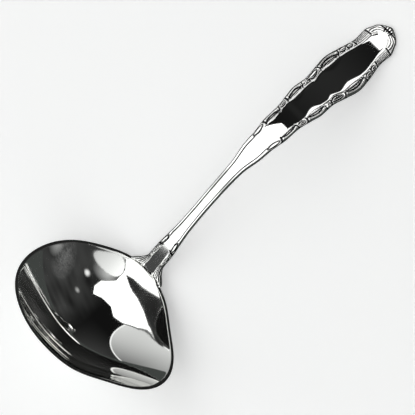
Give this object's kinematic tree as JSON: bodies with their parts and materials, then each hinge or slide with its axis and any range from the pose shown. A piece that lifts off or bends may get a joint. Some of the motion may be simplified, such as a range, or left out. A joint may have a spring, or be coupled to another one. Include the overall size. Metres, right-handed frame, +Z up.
{
  "type": "sauce ladle",
  "caption": "Polished silver sauce ladle: a wide oval bowl with a pouring lip and an arched, scroll-bordered handle soldered to its back wall.",
  "frame": {"origin": "the point on the bowl's underside that touches the table when the ladle lies at rest", "axes": "+Z up from the table, +X from the bowl towards the handle's tip, +Y towards the blunt end of the bowl, away from its pouring lip"},
  "size_m": [0.1829, 0.0727, 0.035],
  "materials": {
    "bowl_silver": "mirror polished silver plate",
    "handle_silver": "polished silver plate with darker recesses in the struck scrolls",
    "silver_solder": "polished silver solder"
  },
  "bodies": {
    "root": {"bowl": "bowl_silver", "handle": "handle_silver", "solder_seam": "silver_solder"}
  },
  "joints": []
}
